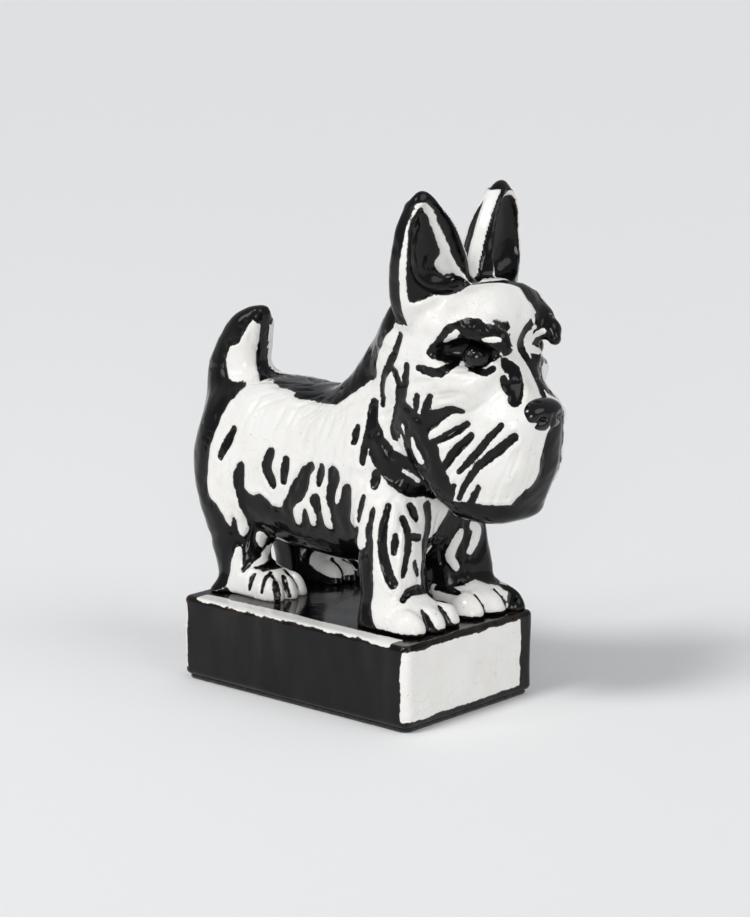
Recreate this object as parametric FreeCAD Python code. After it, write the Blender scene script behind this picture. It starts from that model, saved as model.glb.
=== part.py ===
import FreeCAD, Part
import math
import os
from FreeCAD import Vector

# Ceramic figurine of a standing terrier on a rectangular plinth, in millimetres.
# It is built the way a figure maker assembles one: hollow slip castings for the plinth, the torso
# and the head, and pressed solid pieces for the ears, brows, eyes, nose, tail and legs, all butted
# together with slip. Every piece here stops at the surface of the piece that it is stuck to.
#
# Frame: the origin is the centre of the face that the figurine rests on. +Z is up and +X is the way
# that the dog looks. The dog's left side is +Y.

# ---- driving dimensions ----
PLINTH_LENGTH = 84.0
PLINTH_WIDTH = 54.0
PLINTH_TOP = 24.0  # height of the surface that the dog stands on
FELT_THICKNESS = 1.2
FELT_INSET = 1.0
DOG_Y = 3.0  # the dog stands this far to its left of the plinth's middle
CAST_WALL = 4.0  # thickness of the slip-cast walls
PLINTH_WALL = 5.0
BACK_HEIGHT = 84.0
HEAD_TOP = 119.0
EAR_TIP_HEIGHT = 144.0

# ---- smaller sizes ----
PLINTH_CORNER = 2.0
PLINTH_EDGE = 1.4
VENT_RADIUS = 5.0  # lets the head's hollow breathe into the torso's while it is fired
BELLY_VENT_RADIUS = 1.5
EYE_RADIUS = 3.6
RING_POINTS = 16


# ---- helpers ----
def superellipse(half_a, half_b, power):
    """Offsets (a, b) round a closed curve between an ellipse (power 2) and a rectangle."""
    offsets = []
    for i in range(RING_POINTS):
        turn = 2 * math.pi * i / RING_POINTS
        c, s = math.cos(turn), math.sin(turn)
        a = half_a * math.copysign(abs(c) ** (2 / power), c)
        b = half_b * math.copysign(abs(s) ** (2 / power), s)
        offsets.append((a, b))
    return offsets


def closed_wire(points):
    curve = Part.BSplineCurve()
    curve.interpolate(Points=points, PeriodicFlag=True)
    return Part.Wire([curve.toShape()])


def upright_ring(x, z_low, z_high, half_width, power=2.5):
    """A closed section across the dog, in the plane at x."""
    middle, half_height = (z_low + z_high) / 2, (z_high - z_low) / 2
    ring = superellipse(half_width, half_height, power)
    return closed_wire([Vector(x, DOG_Y + a, middle + b) for a, b in ring])


def level_ring(z, x, y, half_x, half_y, turn=0.0, power=2.3):
    """A closed horizontal section at height z, turned about its own centre by turn degrees."""
    c, s = math.cos(math.radians(turn)), math.sin(math.radians(turn))
    ring = superellipse(half_x, half_y, power)
    return closed_wire([Vector(x + a * c - b * s, y + a * s + b * c, z) for a, b in ring])


def loft(wires):
    return Part.makeLoft(wires, True, False)


def upright_loft(sections, inset=0.0):
    """A solid through upright sections (x, z_low, z_high, half_width), or its hollow if inset."""
    first, last = sections[0][0] + inset, sections[-1][0] - inset
    wires = []
    for x, z_low, z_high, half_width in sections:
        roomy = half_width > 2 * inset and z_high - z_low > 4 * inset
        if inset == 0 or (roomy and first <= x <= last):
            wires.append(upright_ring(x, z_low + inset, z_high - inset, half_width - inset))
    return loft(wires)


def ellipsoid(centre, radii):
    ball = Part.makeSphere(1.0)
    stretch = FreeCAD.Matrix()
    stretch.scale(Vector(*radii))
    shape = ball.transformGeometry(stretch)
    shape.translate(Vector(*centre))
    return shape


def side_y(side, offset):
    """The y of a point at offset from the dog's middle: side is +1 for its left, -1 for its right."""
    return DOG_Y + side * offset


# ---- plinth and felt ----
def plinth_shell():
    """A hollow box, open underneath, with eased corners and top edges."""
    height = PLINTH_TOP - FELT_THICKNESS
    block = Part.makeBox(PLINTH_LENGTH, PLINTH_WIDTH, height,
                         Vector(-PLINTH_LENGTH / 2, -PLINTH_WIDTH / 2, FELT_THICKNESS))
    uprights = [e for e in block.Edges if abs(e.BoundBox.ZLength - height) < 1e-6]
    block = block.makeFillet(PLINTH_CORNER, uprights)
    rim = [e for e in block.Edges if e.BoundBox.ZMin > PLINTH_TOP - 1e-3]
    block = block.makeFillet(PLINTH_EDGE, rim)
    hollow = Part.makeBox(PLINTH_LENGTH - 2 * PLINTH_WALL, PLINTH_WIDTH - 2 * PLINTH_WALL,
                          height - PLINTH_WALL,
                          Vector(-PLINTH_LENGTH / 2 + PLINTH_WALL, -PLINTH_WIDTH / 2 + PLINTH_WALL,
                                 FELT_THICKNESS))
    uprights = [e for e in hollow.Edges if abs(e.BoundBox.ZLength - (height - PLINTH_WALL)) < 1e-6]
    hollow = hollow.makeFillet(2 * PLINTH_CORNER, uprights)
    return block.cut(hollow)


def felt_pad():
    """A sheet of felt stuck to the foot rim, which closes the plinth."""
    length, width = PLINTH_LENGTH - 2 * FELT_INSET, PLINTH_WIDTH - 2 * FELT_INSET
    sheet = Part.makeBox(length, width, FELT_THICKNESS, Vector(-length / 2, -width / 2, 0))
    uprights = [e for e in sheet.Edges if abs(e.BoundBox.ZLength - FELT_THICKNESS) < 1e-6]
    return sheet.makeFillet(PLINTH_CORNER, uprights)


# ---- torso ----
# Sections from the rump to the chest: x, lowest z, highest z, half width.
TORSO = [
    (-58.5, 51.5, 71.0, 7.0),
    (-56.0, 45.5, 77.0, 12.0),
    (-46.5, 41.5, BACK_HEIGHT - 1.0, 16.8),
    (-30.0, 38.1, BACK_HEIGHT, 17.4),
    (-12.0, 36.5, BACK_HEIGHT - 0.5, 17.6),
    (6.0, 36.8, BACK_HEIGHT + 2.0, 18.0),
    (18.0, 39.4, BACK_HEIGHT + 4.0, 17.2),
    (27.0, 48.0, 84.0, 13.5),
    (31.0, 56.0, 77.0, 7.5),
]
# The neck, by height: z, x of its middle, half length along x, half width.
NECK = [
    (70.0, 9.0, 17.0, 15.5),
    (82.0, 13.5, 16.5, 15.0),
    (93.0, 19.5, 15.5, 14.0),
    (102.0, 26.0, 13.0, 12.5),
]


def neck_loft(inset=0.0):
    return loft([level_ring(z, x, DOG_Y, half_x - inset, half_y - inset)
                 for z, x, half_x, half_y in NECK])


def torso_outer():
    return upright_loft(TORSO).fuse(neck_loft())


def torso_hollow():
    return upright_loft(TORSO, CAST_WALL).fuse(neck_loft(CAST_WALL))


def torso_shell(outer, head):
    belly_vent = Part.makeCylinder(BELLY_VENT_RADIUS, 12.0, Vector(-10.0, DOG_Y, 38.0))
    return outer.cut(torso_hollow()).cut(belly_vent).cut(head)


# ---- head ----
# Sections from the nape to the lip: x, lowest z, highest z, half width.
HEAD = [
    (14.5, 84.0, 106.0, 8.5),
    (19.0, 74.0, 114.0, 14.5),
    (27.0, 64.5, 118.0, 18.0),
    (37.0, 57.0, HEAD_TOP, 18.8),
    (46.0, 53.5, HEAD_TOP - 1.0, 17.0),
    (51.5, 53.5, 114.5, 14.8),
    (55.5, 54.0, 102.5, 12.6),
    (60.5, 57.5, 93.5, 11.4),
    (64.7, 67.0, 87.5, 7.0),
]


def head_outer():
    return upright_loft(HEAD)


def head_shell(outer):
    vent = Part.makeCylinder(VENT_RADIUS, 30.0, Vector(24.0, DOG_Y, 58.0))
    return outer.cut(upright_loft(HEAD, CAST_WALL)).cut(vent)


# ---- ears ----
EAR_FOOT = (33.5, 9.0, 104.0)  # x, offset from the dog's middle, z: hidden inside the head
EAR_TIP = (34.8, 15.2, EAR_TIP_HEIGHT)
EAR_TURN = 15.0  # degrees that the opening turns outwards
SCOOP_WIDTH = 0.74  # as a share of the ear's
# Sections by share of the height: share, half depth, half width.
EAR = [
    (0.0, 4.5, 6.0),
    (0.12, 6.4, 9.2),
    (0.3, 7.0, 11.2),
    (0.48, 6.8, 11.2),
    (0.65, 6.0, 9.8),
    (0.8, 4.9, 7.6),
    (0.91, 3.7, 5.4),
    (0.975, 2.3, 3.0),
    (1.0, 1.0, 1.3),
]


def ear(side, head):
    """A leaf-shaped ear with a scoop in its front."""
    turn = math.radians(EAR_TURN)
    outer, scoop = [], []
    for share, half_depth, half_width in EAR:
        x, offset, z = (a + share * (b - a) for a, b in zip(EAR_FOOT, EAR_TIP))
        y = side_y(side, offset)
        outer.append(level_ring(z, x, y, half_depth, half_width, side * EAR_TURN))
        if 0.3 < share < 0.95:
            ahead_x, ahead_y = half_depth * math.cos(turn), side * half_depth * math.sin(turn)
            scoop.append(level_ring(z, x + ahead_x, y + ahead_y, half_depth,
                                    SCOOP_WIDTH * half_width, side * EAR_TURN))
    return loft(outer).cut(loft(scoop)).cut(head)


# ---- applied pieces of the face ----
EYE = (49.6, 11.2, 100.6)  # x, offset from the middle, z
# The ridge of hair over each eye: x, z, half width and half height of its sections, and how far
# each lies from the middle.
BROW = [
    (35.0, 16.6, 106.6, 1.2, 1.0),
    (40.0, 16.8, 108.8, 2.8, 2.4),
    (47.0, 14.8, 109.8, 3.6, 3.2),
    (53.0, 12.0, 108.8, 3.6, 3.2),
    (57.2, 10.2, 106.2, 2.6, 2.4),
    (59.6, 9.4, 103.6, 0.9, 0.8),
]
NOSE = (61.8, 0.0, 85.9)
NOSE_RADII = (4.9, 7.6, 4.5)


def eye(side, head):
    x, offset, z = EYE
    return Part.makeSphere(EYE_RADIUS, Vector(x, side_y(side, offset), z)).cut(head)


def brow(side, head, its_eye):
    rings = []
    for x, offset, z, half_width, half_height in BROW:
        ring = superellipse(half_width, half_height, 2.0)
        rings.append(closed_wire([Vector(x, side_y(side, offset) + a, z + b) for a, b in ring]))
    return loft(rings).cut(head).cut(its_eye)


def nose(head):
    x, offset, z = NOSE
    return ellipsoid((x, DOG_Y + offset, z), NOSE_RADII).cut(head)


# ---- tail and legs ----
# z, x of the middle, half length along x, half width.
TAIL = [
    (74.0, -48.0, 9.8, 9.0),
    (84.0, -49.0, 9.0, 7.9),
    (92.0, -47.2, 7.3, 6.6),
    (98.5, -44.0, 5.6, 5.2),
    (102.3, -41.4, 3.8, 3.6),
    (104.0, -40.2, 1.5, 1.5),
]
# z, x of the middle, offset from the dog's middle, half length along x, half width.
FORELEG = [
    (PLINTH_TOP, 26.0, 11.8, 12.6, 11.0),
    (29.0, 25.6, 11.8, 12.2, 11.0),
    (34.0, 23.4, 11.9, 9.8, 10.0),
    (39.0, 21.2, 11.9, 8.4, 9.4),
    (50.0, 20.4, 11.6, 8.6, 9.2),
    (62.0, 17.8, 10.4, 9.0, 8.6),
]
HINDLEG = [
    (PLINTH_TOP, -28.6, 11.6, 12.6, 7.6),
    (28.5, -29.4, 11.5, 12.0, 7.6),
    (32.5, -33.6, 11.2, 9.6, 7.5),
    (38.0, -37.8, 10.8, 9.0, 7.4),
    (48.0, -40.8, 10.2, 11.0, 8.0),
    (60.0, -41.0, 9.0, 13.0, 8.0),
]


def tail(torso):
    shape = loft([level_ring(z, x, DOG_Y, half_x, half_y) for z, x, half_x, half_y in TAIL])
    return shape.cut(torso)


def leg(side, sections, torso):
    rings = [level_ring(z, x, side_y(side, offset), half_x, half_y)
             for z, x, offset, half_x, half_y in sections]
    return loft(rings).cut(torso)


# ---- the assembly ----
def build():
    head = head_outer()
    torso = torso_outer()
    parts = {
        "plinth_shell": plinth_shell(),
        "felt_pad": felt_pad(),
        "torso_shell": torso_shell(torso, head),
        "head_shell": head_shell(head),
        "nose": nose(head),
        "tail": tail(torso),
    }
    for side, name in ((1, "left"), (-1, "right")):
        parts[f"ear_{name}"] = ear(side, head)
        parts[f"eye_{name}"] = eye(side, head)
        parts[f"brow_{name}"] = brow(side, head, parts[f"eye_{name}"])
        parts[f"foreleg_{name}"] = leg(side, FORELEG, torso)
        parts[f"hindleg_{name}"] = leg(side, HINDLEG, torso)
    return parts


os.makedirs("parts", exist_ok=True)
for node, shape in build().items():
    shape.exportStep(f"parts/{node}.step")
    box = shape.BoundBox
    print(f"{node:16s} solids {len(shape.Solids)} valid {shape.isValid()} volume {shape.Volume:9.1f}"
          f"  x {box.XMin:6.1f} {box.XMax:6.1f}  y {box.YMin:6.1f} {box.YMax:6.1f}"
          f"  z {box.ZMin:6.1f} {box.ZMax:6.1f}")
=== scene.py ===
import math

import bpy
import numpy as np
import openvdb
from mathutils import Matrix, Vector
from mathutils.bvhtree import BVHTree


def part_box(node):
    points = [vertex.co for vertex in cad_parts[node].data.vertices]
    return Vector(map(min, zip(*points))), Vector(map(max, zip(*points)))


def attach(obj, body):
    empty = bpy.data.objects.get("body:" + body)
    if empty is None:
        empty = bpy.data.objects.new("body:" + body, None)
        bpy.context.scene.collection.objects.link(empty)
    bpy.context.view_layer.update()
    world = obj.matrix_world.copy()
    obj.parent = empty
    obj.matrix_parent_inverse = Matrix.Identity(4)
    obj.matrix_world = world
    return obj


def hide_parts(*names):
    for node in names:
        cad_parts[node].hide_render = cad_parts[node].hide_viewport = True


# A terrier in white glazed ceramic with black brushwork, on a black glazed plinth with white ends. Much of
# the black
# is painted shade: under the belly, between the legs, under the jaw and beard, in the ears and over the
# plinth, whose white ends and edge strips are painted light. Two white flecks by the eye are painted
# highlights.
# Shapes are worked out in millimetres and turned into metres as each mesh is made. The dog's own
# coordinates are x, v and z: v is measured sideways from the dog's middle, plus towards its left.

MM = 0.001
DOG_Y = 3.0
VOXEL = 0.5
rng = np.random.default_rng(7)

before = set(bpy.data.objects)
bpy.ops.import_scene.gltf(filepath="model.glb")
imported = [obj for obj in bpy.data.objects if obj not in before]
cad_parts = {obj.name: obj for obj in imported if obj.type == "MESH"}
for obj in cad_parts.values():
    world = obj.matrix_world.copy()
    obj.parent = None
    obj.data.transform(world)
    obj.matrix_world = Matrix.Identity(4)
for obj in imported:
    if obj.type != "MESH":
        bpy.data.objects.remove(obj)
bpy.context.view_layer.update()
plinth_low, plinth_high = (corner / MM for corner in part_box("plinth_shell"))
GROUND = plinth_high.z


# ---------------------------------------------------------------- solid modelling on a grid
class Clay:
    """A signed distance field over one half of the dog. The other half is its mirror image."""

    def __init__(self, low, high):
        self.axes = [np.arange(a, b, VOXEL, dtype=np.float32) for a, b in zip(low, high)]
        self.d = np.full([len(a) for a in self.axes], 40.0, np.float32)

    def window(self, low, high):
        cut = [slice(int(np.searchsorted(a, lo)), int(np.searchsorted(a, hi)))
               for a, lo, hi in zip(self.axes, low, high)]
        x, v, z = (a[c] for a, c in zip(self.axes, cut))
        return tuple(cut), x[:, None, None], v[None, :, None], z[None, None, :]

    def add(self, shape, low, high, blend):
        cut, x, v, z = self.window(low, high)
        self.d[cut] = smooth_min(self.d[cut], shape(x, v, z), blend)

    def carve(self, shape, low, high, blend):
        cut, x, v, z = self.window(low, high)
        self.d[cut] = -smooth_min(-self.d[cut], shape(x, v, z), blend)


def smooth_min(a, b, blend):
    near = np.maximum(blend - np.abs(a - b), 0) / blend
    return np.minimum(a, b) - near * near * blend / 4


def step(low, high, value):
    """Goes smoothly from 0 at low to 1 at high."""
    t = np.clip((value - low) / (high - low), 0, 1)
    return t * t * (3 - 2 * t)


def smooth_curve(at, values, s):
    """A monotone cubic through the points (at, values), read at s."""
    at, values = np.asarray(at, float), np.asarray(values, float)
    step = np.diff(at)
    rise = np.diff(values) / step
    slope = np.zeros(len(at))
    slope[0], slope[-1] = rise[0], rise[-1]
    same = rise[1:] * rise[:-1] > 0
    slope[1:-1][same] = (2 * rise[1:] * rise[:-1])[same] / (rise[1:] + rise[:-1])[same]
    s = np.clip(s, at[0], at[-1])
    i = np.clip(np.searchsorted(at, s, side="right") - 1, 0, len(at) - 2)
    t = (s - at[i]) / step[i]
    a, b = values[i], values[i + 1]
    bend = t * (1 - t) * ((1 - t) * (slope[i] * step[i] - (b - a)) + t * ((b - a) - slope[i + 1] * step[i]))
    return a + (b - a) * t + bend


def to_distance(level):
    """Turns a field that is 1 on the surface into a distance from it."""
    steps = np.gradient(level, VOXEL)
    length = np.sqrt(sum(g * g for g in steps))
    return ((level - 1) / np.maximum(length, 0.02)).astype(np.float32)


def tube_level(s, a, b, rows, start, end, power=2.5):
    """A body whose section changes along s: below 1 inside it. Rows are s, middle a, middle b,
    half a, half b. start and end are the lengths over which its two ends round off."""
    rows = np.array(rows, float)
    middle_a, middle_b, half_a, half_b = (
        smooth_curve(rows[:, 0], rows[:, i], s).astype(np.float32) for i in range(1, 5))
    first, last = rows[0, 0], rows[-1, 0]
    cap = np.maximum(np.maximum((first + start - s) / start, (s - last + end) / end), 0)
    total = np.abs((a - middle_a) / half_a) ** power + np.abs((b - middle_b) / half_b) ** power
    return (total + cap ** power) ** (1 / power)


def ellipsoid(centre, radii):
    def shape(x, v, z):
        p = [(q - c) / r for q, c, r in zip((x, v, z), centre, radii)]
        near = np.sqrt(sum(q * q for q in p))
        far = np.sqrt(sum((q / r) ** 2 for q, r in zip(p, radii)))
        return near * (near - 1) / np.maximum(far, 1e-4)
    return shape


def limb(points):
    """A round rod through points (x, v, z, radius)."""
    def shape(x, v, z):
        best = None
        for (ax, av, az, ar), (bx, bv, bz, br) in zip(points, points[1:]):
            dx, dv, dz = bx - ax, bv - av, bz - az
            t = ((x - ax) * dx + (v - av) * dv + (z - az) * dz) / (dx * dx + dv * dv + dz * dz)
            t = np.clip(t, 0, 1)
            away = np.sqrt((x - ax - t * dx) ** 2 + (v - av - t * dv) ** 2 + (z - az - t * dz) ** 2)
            d = away - ar - t * (br - ar)
            best = d if best is None else smooth_min(best, d, 1.0)
        return best
    return shape


def around(points, margin):
    """The box round points (x, v, z, radius), for Clay's windows."""
    rows = np.array([(x, v, z) for x, v, z, r in points])
    reach = max(p[3] for p in points) + margin
    return rows.min(0) - reach, rows.max(0) + reach


# ---------------------------------------------------------------- the dog
# x, middle v, middle z, half width, half height
TORSO = [
    (-56.8, 0, 59.4, 13.7, 13.3),
    (-46, 0, 61.8, 16.8, 20.0),
    (-30, 0, 61.0, 17.4, 22.9),
    (-12, 0, 60.2, 17.6, 23.8),
    (6, 0, 61.4, 18.0, 24.6),
    (20, 0, 63.6, 17.5, 24.4),
    (31, 0, 65.5, 15.0, 19.5),
]
# z, x, v, half length, half width
NECK = [(66, 7, 0, 17, 15.5), (82, 13.5, 0, 16.5, 15.0), (93, 19.1, 0, 16.2, 14.2),
        (100, 23, 0, 15, 13.2), (108, 27.5, 0, 12.5, 11.5)]
CRANIUM = [
    (14.5, 0, 97.0, 14.0, 14.0),
    (24, 0, 99.0, 18.0, 18.0),
    (36, 0, 99.5, 19.2, 19.5),
    (47, 0, 100.0, 18.2, 19.2),
    (56.5, 0, 101.5, 14.2, 15.3),
]
CHEEKS = [
    (57, 44.0, 0, 7.0, 11.0),
    (62, 41.5, 0, 9.5, 14.0),
    (68, 38.5, 0, 12.0, 16.2),
    (74, 36.0, 0, 14.2, 17.4),
    (80, 34.0, 0, 15.6, 18.3),
    (98, 31.5, 0, 15.0, 18.2),
]
MUZZLE = [
    (54.3, 46.3, 0, 11.0, 10.0),
    (61, 47.2, 0, 12.6, 11.7),
    (72, 49.6, 0, 14.2, 13.1),
    (84, 51.1, 0, 14.0, 12.7),
    (91, 48.7, 0, 12.0, 9.5),
    (97, 46.3, 0, 10.3, 7.0),
    (103, 43.5, 0, 9.3, 6.0),
]
TAIL = [
    (70, -46.8, 0, 9.5, 9.0),
    (84, -48.0, 0, 9.0, 7.8),
    (92, -46.2, 0, 7.9, 6.6),
    (98.5, -43.3, 0, 6.2, 5.2),
    (103.6, -40.0, 0, 4.3, 3.8),
]
FORELEG = [
    (22, 22.6, 12.0, 8.2, 9.6),
    (31, 22.1, 12.0, 8.2, 9.5),
    (40, 21.4, 12.1, 8.2, 9.5),
    (50, 20.6, 11.7, 8.6, 9.3),
    (64, 17.8, 10.2, 9.0, 8.6),
]
FOREPAW = [(14, 11.8, 24, 9.2, 9.0), (23, 11.8, 24, 10.8, 9.8), (31, 11.9, 23.5, 11.1, 8.6),
           (36.8, 11.8, 23, 10.4, 7.2)]
HINDLEG = [
    (22, -33.8, 11.2, 7.2, 6.8),
    (30, -35.2, 11.2, 8.2, 7.0),
    (38, -37.5, 10.8, 9.2, 7.4),
    (48, -39.8, 10.2, 10.6, 8.0),
    (60, -40.0, 9.0, 13.0, 8.2),
    (70, -39.0, 8.0, 12.0, 7.0),
]
HINDPAW = [(-40.5, 11.6, 24, 6.6, 7.5), (-31, 11.6, 24, 7.2, 9.0), (-22.5, 11.8, 23.5, 7.5, 8.2),
           (-17.5, 11.8, 23, 7.0, 6.8)]
BROW = [(34, 16.4, 106.0, 1.2), (40, 16.6, 108.8, 2.4), (47, 14.6, 109.6, 3.0), (52.5, 12.0, 108.2, 3.0),
        (56.4, 10.4, 105.8, 2.8), (58.2, 9.8, 103.6, 2.0)]
EYE = (49.6, 11.2, 100.6)
EYE_RADIUS = 3.6
NOSE = (61.8, 0, 85.1)
NOSE_RADII = (4.9, 7.6, 4.5)
EAR_FOOT = np.array((33.5, 9.0, 104.0))
EAR_TIP = np.array((34.6, 15.8, 143.5))
EAR_TURN = math.radians(15)
# share of the ear's height, half depth, half width
EAR = [(0, 6.0, 9.8), (0.3, 7.2, 12.2), (0.48, 7.0, 11.7), (0.65, 6.4, 9.9), (0.8, 5.4, 8.1), (1.0, 3.8, 5.6)]


def lengthways(rows, start, end, power):
    """A shape whose sections follow one another along X."""
    return lambda x, v, z: tube_level(x, v, z, rows, start, end, power)


def upright(rows, start, end, power):
    """A shape whose sections lie one above another."""
    return lambda x, v, z: tube_level(z, x, v, rows, start, end, power)


torso = lengthways(TORSO, 15, 13, 2.7)
neck = upright(NECK, 6, 5, 2.3)
cranium = lengthways(CRANIUM, 9, 8, 2.5)
cheeks = upright(CHEEKS, 4, 8, 2.5)
muzzle = upright(MUZZLE, 5, 7, 2.8)
tail = upright(TAIL, 5, 5, 2.2)
foreleg = upright(FORELEG, 1, 6, 2.5)
hindleg = upright(HINDLEG, 1, 10, 2.4)
forepaw = lengthways(FOREPAW, 5, 5, 2.3)
hindpaw = lengthways(HINDPAW, 5, 5, 2.3)


def ear_place(x, v, z):
    """Where a point is in the ear: its share of the ear's height, and how far it is forwards and sideways."""
    share = (z - EAR_FOOT[2]) / (EAR_TIP[2] - EAR_FOOT[2])
    dx = x - EAR_FOOT[0] - share * (EAR_TIP[0] - EAR_FOOT[0])
    dv = v - EAR_FOOT[1] - share * (EAR_TIP[1] - EAR_FOOT[1])
    c, s = math.cos(EAR_TURN), math.sin(EAR_TURN)
    return share, dx * c + dv * s, dv * c - dx * s


def ear(x, v, z):
    share, ahead, across = ear_place(x, v, z)
    rows = [(up, 0, 0, depth, width) for up, depth, width in EAR]
    return tube_level(share + 0 * ahead, ahead, across, rows, 0.1, 0.33, 2.3)


def ear_scoop(x, v, z):
    share, ahead, across = ear_place(x, v, z)
    rows = [(0.33 + 0.6 * up, depth, 0, 1.05 * depth, 0.7 * width) for up, depth, width in EAR]
    return tube_level(share + 0 * ahead, ahead, across, rows, 0.12, 0.22, 2.2)


def solid(level):
    """The same shape as a distance field, for Clay."""
    return lambda x, v, z: to_distance(level(x, v, z))


def add_paw(clay, level, rows, toe_x, toe_length, toe_height):
    """A paw with three toes in front."""
    low, high = (rows[0][0] - 6, 0, GROUND - 3), (rows[-1][0] + 6, 26, 44)
    clay.add(solid(level), low, high, 3.0)
    middle, half = rows[2][1], rows[2][3]
    for i in (-1, 0, 1):
        toe = (toe_x + 0.9 * (1 - abs(i)), middle + 0.63 * half * i, GROUND + 0.2)
        radii = (toe_length, 0.38 * half, toe_height)
        clay.add(ellipsoid(toe, radii), np.subtract(toe, 12), np.add(toe, 12), 0.7)


def model_dog():
    clay = Clay((-66, -1.5 * VOXEL, GROUND - 2), (80, 26, 148))
    for level, low, high, blend in (
            (torso, (-70, -9, 36), (40, 40, 95), 1.0),
            (neck, (-16, -9, 56), (48, 40, 116), 9.0),
            (foreleg, (4, -9, 20), (36, 40, 72), 4.0),
            (hindleg, (-58, -9, 20), (-14, 40, 84), 5.0),
            (tail, (-64, -9, 62), (-28, 30, 112), 6.0),
            (cranium, (0, -9, 76), (68, 40, 126), 5.0),
            (cheeks, (8, -9, 50), (60, 40, 106), 2.5),
            (muzzle, (34, -9, 46), (78, 40, 110), 3.0),
            (ear, (18, -9, 98), (56, 40, 148), 2.0)):
        clay.add(solid(level), low, high, blend)
    clay.carve(solid(ear_scoop), (18, -9, 98), (60, 40, 148), 1.2)
    stop = (61.5, 0, 102.6)
    clay.carve(ellipsoid(stop, (6.8, 17, 4.4)), np.subtract(stop, 22), np.add(stop, 24), 3.0)
    socket = (51.5, 17.0, 101.6)
    clay.carve(ellipsoid(socket, (10.5, 7.4, 4.8)), np.subtract(socket, 16), np.add(socket, 16), 3.0)
    clay.add(limb(BROW), *around(BROW, 6), 2.2)
    belly_vent = (-10, 0, 34)
    clay.carve(ellipsoid(belly_vent, (1.7, 1.7, 9)), (-16, -9, 26), (-4, 9, 50), 0.5)
    add_paw(clay, forepaw, FOREPAW, 32.2, 6.2, 6.6)
    add_paw(clay, hindpaw, HINDPAW, -20.8, 5.2, 6.0)
    heel = (-37.6, 15, 22)
    clay.add(ellipsoid(heel, (4.6, 8.0, 5.2)), np.subtract(heel, 16), np.add(heel, 16), 3.0)
    clay.d = np.maximum(clay.d, GROUND - clay.axes[2][None, None, :])
    return clay


def mesh_of(clay):
    """Vertices (dog's coordinates, in mm) and quads of the whole dog's surface."""
    half = clay.d[:, 1:, :]  # the first plane lies just past the middle
    keep = clay.axes[1][1:]
    whole = np.concatenate([half[:, ::-1, :], half], axis=1).astype(np.float32)
    grid = openvdb.FloatGrid(background=3.0)
    grid.copyFromArray(np.clip(whole, -3.0, 3.0), tolerance=0.0)
    points, quads = grid.convertToQuads(isovalue=0.0)
    low = np.array((clay.axes[0][0], -keep[-1], clay.axes[2][0]))
    return spread_left_paw(points * VOXEL + low), quads


def spread_left_paw(points):
    """The left forefoot's outer side stands out further than the right one's."""
    x, v, z = points.T
    share = step(12, 21, v) * step(54, 27, z) * step(6, 22, x)
    return points + share[:, None] * (2.4, 0.6, 0)


# ---------------------------------------------------------------- paint
FAR = 9.0  # ink further than this from a painted edge is all the same
# Top of the painted shade under the beard.
BEARD_SHADE_TOP = 61.3
# The black line under the forefeet is painted contact shadow.
SOLE_SHADOW = 1.1  # height of the black line under the forefeet
RIGHT, LEFT = -1, 1


def curve_through(points, step=0.8, closed=False):
    """A Catmull-Rom curve through the points, as points about one step apart."""
    p = np.asarray(points, float)
    if closed:
        q = np.concatenate([p[-1:], p, p[:2]])
    else:
        q = np.concatenate([2 * p[:1] - p[1:2], p, 2 * p[-1:] - p[-2:-1]])
    found = []
    for a, b, c, d in zip(q, q[1:], q[2:], q[3:]):
        count = max(2, int(np.linalg.norm(c - b) / step))
        t = (np.arange(count) / count)[:, None]
        found.append(0.5 * (2 * b + (c - a) * t + (2 * a - 5 * b + 4 * c - d) * t ** 2
                            + (3 * b - 3 * c + d - a) * t ** 3))
    if not closed:
        found.append(q[-2:-1])
    return np.concatenate(found)


def vertex_normals(points, quads):
    a, b, c, d = (points[quads[:, i]] for i in range(4))
    face = np.cross(c - a, d - b)
    total = np.stack([sum(np.bincount(quads[:, i], face[:, k], len(points)) for i in range(4))
                      for k in range(3)], axis=1)
    return total / np.maximum(np.linalg.norm(total, axis=1, keepdims=True), 1e-9)


def line_distance(p, line, half):
    """How far points p are outside a line whose half thickness changes along it."""
    best = np.full(len(p), FAR)
    for a, b, ra, rb in zip(line, line[1:], half, half[1:]):
        along = b - a
        t = np.clip((p - a) @ along / max(along @ along, 1e-9), 0, 1)
        away = np.linalg.norm(p - a - t[:, None] * along, axis=1)
        best = np.minimum(best, away - ra - t * (rb - ra))
    return best


def outline_distance(p, outline):
    """How far flat points p are outside a closed outline: negative inside it."""
    best = np.full(len(p), FAR)
    inside = np.zeros(len(p), bool)
    for a, b in zip(outline, np.roll(outline, -1, axis=0)):
        along = b - a
        t = np.clip((p - a) @ along / max(along @ along, 1e-9), 0, 1)
        best = np.minimum(best, np.linalg.norm(p - a - t[:, None] * along, axis=1))
        crosses = (a[1] > p[:, 1]) != (b[1] > p[:, 1])
        if along[1]:
            inside ^= crosses & (p[:, 0] < a[0] + (p[:, 1] - a[1]) / along[1] * along[0])
    return np.where(inside, -best, best)


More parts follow.
